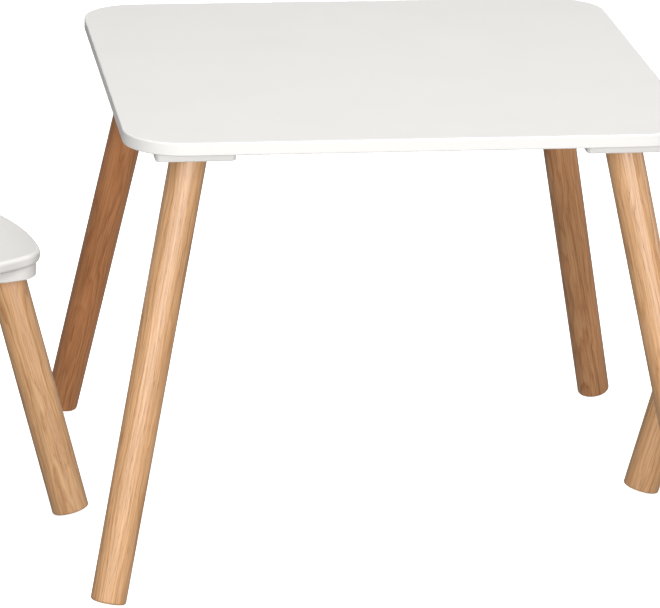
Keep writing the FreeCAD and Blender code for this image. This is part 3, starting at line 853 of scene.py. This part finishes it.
def undercarriage(furniture, corners, underside, middle, block, screw_places, leg_radii, logs):
    """Blocks, legs and their hardware under one board.

    A block is (side, corner radius), leg radii are (top, foot), and a log is (angle round the
    pith, distance from it, painted shade that darkens the whole rod).
    """
    bolts, nuts, screws = [], [], []
    block_screw = screw(*SCREW, BLOCK_SCREW_LENGTH, SCREW_PITCH)
    side, corner_radius = block
    height = underside - BLOCK_THICKNESS
    for name, corner in corners.items():
        block_middle = np.array([corner[0] * middle, corner[1] * middle, height])
        shift = LEG_SHIFT * np.array([corner[0], corner[1], 0])
        joint = block_middle + shift
        axes = leg_axes(corner)
        places = [np.array([x, y, SCREW_SINK]) for x, y in screw_places(corner)]
        hole = countersunk_drill(*SCREW, BLOCK_THICKNESS + 5)
        drills = [carried(straight_drill(INSERT_RADIUS, -DRILL_START, INSERT_END), shift, axes)]
        drills += [carried(hole, place, np.eye(3)) for place in places]
        lay(f"block_{name}", furniture, "white_lacquered_board",
            [board(square_outline(side, corner_radius), BLOCK_THICKNESS, BLOCK_ROUNDING, 0)],
            drills=drills, origin=block_middle,
            marks={"arris": edge_wear(BLOCK_THICKNESS, BLOCK_ROUNDING)})
        # A log's last number is painted shade over the leg. It is not the colour of its wood.
        angle, radius, painted_shade_depth = logs[name]
        lay(f"leg_{name}", furniture, "oiled_wood",
            [splayed_leg(height, *leg_radii)], origin=joint, axes=axes,
            marks={"grain_place": grain(angle, radius, 1000 * angle), "painted_shade_level": painted_shade_on_rod(painted_shade_depth)})
        bolts.append(carried(hanger_bolt(BOLT_RADIUS, BOLT_LENGTH, BOLT_DEPTH, 0.8),
                             joint - BOLT_DEPTH * axes[2], axes))
        nuts.append(carried(insert_nut(INSERT_RADIUS, BOLT_RADIUS + CLEARANCE, INSERT_END - INSERT_START),
                            joint + INSERT_START * axes[2], axes))
        screws += [carried(block_screw, block_middle + place, np.eye(3)) for place in places]
    lay("leg_bolts", furniture, "zinc_plated_steel", bolts)
    lay("insert_nuts", furniture, "brass_insert", nuts, tube=True)
    lay("block_screws", furniture, "zinc_plated_steel", screws)


def pilot_drills(middle, corners, screw_places):
    """Blind holes in a board for the screws that hold its blocks."""
    hole = straight_drill(SCREW[0], -DRILL_START, PILOT_DEPTH, 16)
    return [carried(hole, (x * middle + dx, y * middle + dy, 0), np.eye(3))
            for x, y in corners.values() for dx, dy in screw_places((x, y))]


print(f"a leg leaves its block {LEG_SHIFT:.2f} mm off the middle, along X and along Y")

# %% [markdown]
# ## The table
#
# The top is one board, its arrises eased just enough for the lacquer to hold on them. Every
# rod is cut from a different place in its log, so no two legs show the same figure. The two
# rear ones are darkened with painted shade, which stands in for the shade they get under the top.

# %% Table, in millimetres
TABLE_WIDTH, TABLE_HEIGHT, TABLE_THICKNESS = 600.0, 495.0, 14.0
TABLE_CORNER = 62.0
TABLE_ROUNDING = 1.5
TABLE_BLOCK = (84.0, 6.0)
TABLE_BLOCK_MIDDLE = 226.0
TABLE_SCREW_OFFSET = 29.0
TABLE_LEG_RADII = (19.6, 18.9)
TABLE_CORNERS = {
    "front_left": (-1, -1), "front_right": (1, -1), "rear_left": (-1, 1), "rear_right": (1, 1)}
# The last number of each log is painted shade. The rear legs are darkened as if in the shade of the top.
TABLE_LOGS = {
    "front_left": (0.5, 85, NO_PAINTED_SHADE), "front_right": (2.9, 70, NO_PAINTED_SHADE),
    "rear_left": (6.3, 30, FULL_PAINTED_SHADE), "rear_right": (1.4, 42, 0.55 * FULL_PAINTED_SHADE)}


def table_screws(corner):
    """Four screws, one in each corner of the block, whichever leg it is for."""
    return [(x * TABLE_SCREW_OFFSET, y * TABLE_SCREW_OFFSET) for x, y in TABLE_CORNERS.values()]


underside = TABLE_HEIGHT - TABLE_THICKNESS
lay("top", TABLE, "white_lacquered_board",
    [board(square_outline(TABLE_WIDTH, TABLE_CORNER), TABLE_THICKNESS, TABLE_ROUNDING, TABLE_ROUNDING)],
    drills=pilot_drills(TABLE_BLOCK_MIDDLE, TABLE_CORNERS, table_screws),
    origin=(0, 0, underside), marks={"arris": edge_wear(TABLE_THICKNESS, TABLE_ROUNDING)})
undercarriage(TABLE, TABLE_CORNERS, underside, TABLE_BLOCK_MIDDLE, TABLE_BLOCK, table_screws,
              TABLE_LEG_RADII, TABLE_LOGS)

# %% [markdown]
# ## The chairs
#
# A chair is the table's little sister: a bowed seat on four leaning legs, with blocks that
# are nearly round. Two posts stand in tilted sockets at its rear edge, each held by one long
# screw from below. Their fronts are planed flat where the backrest lies against them, and
# the screws that hold it go in from behind, under white caps.
# Both chairs are alike, so one function makes either, in the chair's own frame: its front
# towards +X, its left towards +Y.

# %% A chair's sizes, in millimetres
SEAT_WIDTH, SEAT_HEIGHT, SEAT_THICKNESS = 310.0, 300.0, 14.0
SEAT_BOW = 350.0
BACKREST_WIDTH, BACKREST_HEIGHT, BACKREST_THICKNESS = 250.0, 125.0, 14.0
BACKREST_BOW = 450.0
BACKREST_LOW = 95.0                  # up the posts, from the seat
CHAIR_CORNER = 52.0                  # of the seat and of the backrest
SOFT_ARRIS = 4.5
CHAIR_BLOCK = (70.0, 28.0)
CHAIR_BLOCK_MIDDLE = 97.0
CHAIR_SCREW_REACH = 30.4             # from the middle of the block
CHAIR_LEG_RADII = (20.6, 20.5)
CHAIR_CORNERS = {
    "front_left": (1, 1), "front_right": (1, -1), "rear_left": (-1, 1), "rear_right": (-1, -1)}
SIDES = {"left": 1, "right": -1}
LEAN = math.radians(10)
POST_RADIUS, POST_TOP = 12.0, 195.0
POST_ROUNDING = 2.0
POST_FLAT = 8.0                      # from the axis to the face that meets the backrest
POST_SIDE, POST_BACK = 56.0, -123.0  # where the axis leaves the seat
SOCKET_FLOOR = 6.2
SOCKET_DEPTH = SEAT_THICKNESS / math.cos(LEAN) - SOCKET_FLOOR
POST_SCREW_START = SOCKET_FLOOR + SOCKET_DEPTH - 1.2
PANEL_SCREW_HEIGHTS = (125.0, 180.0)
PANEL_PILOT_DEPTH = 10.0
COUNTERBORE_RADIUS, COUNTERBORE_FLOOR = 4.5, 8.0     # the floor is that far behind the axis
CAP_PLACE = 10.5                     # also behind the axis
CAP_HEIGHTS, CAP_RADII = [0, 0, 0.7, 1.0, 1.2, 1.3], [4.05, 4.45, 4.45, 4.25, 3.6, 2.2]


def chair_screws(corner):
    """Two screws beside the leg, on the diagonal that the leg doesn't lean along."""
    across = CHAIR_SCREW_REACH / math.sqrt(2)
    return [(-corner[1] * across, corner[0] * across), (corner[1] * across, -corner[0] * across)]


print(f"a post's socket is {SOCKET_DEPTH:.2f} mm deep, along the post")

# %% [markdown]
# ## A backrest post
#
# A post is a dowel whose upper part is planed flat. It could be a cylinder with a box taken
# off it. Here the rings' own points are pushed back to the flat instead, with a column on each
# of its edges, so the post stays one clean tube for the screws to be drilled into.

# %% A post, up its own Z from where its axis leaves the seat
POST_AXES = np.array([
    (math.cos(LEAN), 0, math.sin(LEAN)), (0, 1, 0), (-math.sin(LEAN), 0, math.cos(LEAN))])


def post_point(side, height, forward=0.0):
    """A point beside a post, in the chair's frame."""
    start = np.array([POST_BACK, side * POST_SIDE, SEAT_HEIGHT])
    return start + height * POST_AXES[2] + forward * POST_AXES[0]


def backrest_post():
    """A round rod, cut back to x = POST_FLAT from the backrest's lower edge upwards.

    Two of its columns stand exactly on the edges of the flat, where cos(angle) is the flat's
    distance over the radius. None stands in the middle, at y = 0, where the screw bores have
    theirs and the cut would tear.
    """
    edge = math.acos(POST_FLAT / POST_RADIUS)
    angle = np.concatenate([
        np.linspace(-edge, edge, 16), np.linspace(edge, 2 * np.pi - edge, 66)[1:-1]])
    t = np.linspace(0, np.pi / 2, 6)
    height = np.concatenate([
        [-SOCKET_DEPTH] * 2, [BACKREST_LOW] * 2, POST_TOP - POST_ROUNDING * (1 - np.sin(t)), [POST_TOP]])
    radius = np.concatenate([
        [POST_RADIUS - EXTRA_LAP], [POST_RADIUS] * 3, POST_RADIUS - POST_ROUNDING * (1 - np.cos(t)),
        [POST_RADIUS - POST_ROUNDING - EXTRA_LAP]])
    x, y = np.outer(radius, np.cos(angle)), np.outer(radius, np.sin(angle))
    x[3:] = np.minimum(x[3:], POST_FLAT)
    return np.stack([x, y, height[:, None] + 0 * x], axis=-1)


print("a post's rings and columns:", backrest_post().shape[:2])

# %% [markdown]
# ## One chair
#
# The order is that of a workbench: the seat with its sockets, what is under it, the posts,
# the backrest, then the screws and their caps. Holes and screws come from the same places and
# the same sizes, so that no screw can miss its hole.

# %% One chair
def make_chair(furniture, logs):
    """Seat, undercarriage, posts, backrest and the hardware that holds them."""
    underside = SEAT_HEIGHT - SEAT_THICKNESS
    to_seat = np.array([0, 0, -underside])
    socket = straight_drill(POST_RADIUS, -SOCKET_DEPTH, 20, 64)
    post_hole = countersunk_drill(*POST_SCREW, POST_SCREW_LENGTH)
    sockets = []
    for side in SIDES.values():
        sockets.append(carried(socket, post_point(side, 0) + to_seat, POST_AXES))
        sockets.append(carried(post_hole, post_point(side, -POST_SCREW_START) + to_seat, POST_AXES))
    lay("seat", furniture, "white_lacquered_board",
        [board(bowed_outline(SEAT_WIDTH, SEAT_WIDTH, CHAIR_CORNER, SEAT_BOW), SEAT_THICKNESS,
               SOFT_ARRIS, SOFT_ARRIS, steps=8)],
        drills=pilot_drills(CHAIR_BLOCK_MIDDLE, CHAIR_CORNERS, chair_screws) + sockets,
        origin=-to_seat, marks={"arris": edge_wear(SEAT_THICKNESS, SOFT_ARRIS)})
    undercarriage(furniture, CHAIR_CORNERS, underside, CHAIR_BLOCK_MIDDLE, CHAIR_BLOCK, chair_screws,
                  CHAIR_LEG_RADII, {name: (*log, NO_PAINTED_SHADE) for name, log in zip(CHAIR_CORNERS, logs)})

    rearward = [(0, 0, 1), (0, 1, 0), (-1, 0, 0)]
    stepped = turned_on_lathe([-30, 0, 0, 30], [SCREW[0] + CLEARANCE] * 2 + [COUNTERBORE_RADIUS] * 2)
    for (name, side), (angle, log_radius) in zip(SIDES.items(), logs):
        bores = [carried(post_hole, (0, 0, -POST_SCREW_START), np.eye(3))]
        bores += [carried(stepped, (-COUNTERBORE_FLOOR, 0, height), rearward)
                  for height in PANEL_SCREW_HEIGHTS]
        lay(f"post_{name}", furniture, "oiled_wood", [backrest_post()], drills=bores,
            origin=post_point(side, 0), axes=POST_AXES,
            marks={"grain_place": grain(angle + 2, log_radius, 2000 * angle),
                   "painted_shade_level": painted_shade_on_rod(NO_PAINTED_SHADE)})

    middle = BACKREST_LOW + BACKREST_HEIGHT / 2
    places = [(side, height) for side in SIDES.values() for height in PANEL_SCREW_HEIGHTS]
    hole = straight_drill(SCREW[0], -DRILL_START, PANEL_PILOT_DEPTH)
    lay("backrest", furniture, "white_lacquered_board",
        [board(bowed_outline(BACKREST_HEIGHT, BACKREST_WIDTH, CHAIR_CORNER, BACKREST_BOW),
               BACKREST_THICKNESS, SOFT_ARRIS, SOFT_ARRIS, steps=8)],
        drills=[carried(hole, (middle - height, side * POST_SIDE, 0), np.eye(3))
                for side, height in places],
        origin=post_point(0, middle, POST_FLAT),
        axes=[-POST_AXES[2], POST_AXES[1], POST_AXES[0]],
        marks={"arris": edge_wear(BACKREST_THICKNESS, SOFT_ARRIS)})

    lay("post_screws", furniture, "zinc_plated_steel", [
        carried(screw(*POST_SCREW, POST_SCREW_LENGTH, POST_SCREW_PITCH),
                post_point(side, -POST_SCREW_START), POST_AXES) for side in SIDES.values()])
    lay("backrest_screws", furniture, "zinc_plated_steel", [
        carried(screw(*SCREW, PANEL_SCREW_LENGTH, SCREW_PITCH, countersunk=False),
                post_point(side, height, -COUNTERBORE_FLOOR),
                [POST_AXES[1], POST_AXES[2], POST_AXES[0]]) for side, height in places])
    lay("screw_caps", furniture, "white_plastic_cap", [
        carried(turned_on_lathe(CAP_HEIGHTS, CAP_RADII, 48), post_point(side, height, -CAP_PLACE),
                [POST_AXES[2], POST_AXES[1], -POST_AXES[0]]) for side, height in places])
    print(furniture[0], "made")


# %% [markdown]
# ## Both chairs
#
# They are the same chair in two places. Only the logs that their rods were turned from differ.

# %% Both chairs
make_chair(CHAIRS["left_chair"], [(0.9, 80), (3.6, 65), (1.9, 90), (4.4, 75)])
make_chair(CHAIRS["right_chair"], [(5.9, 70), (2.2, 85), (4.9, 60), (0.2, 95)])
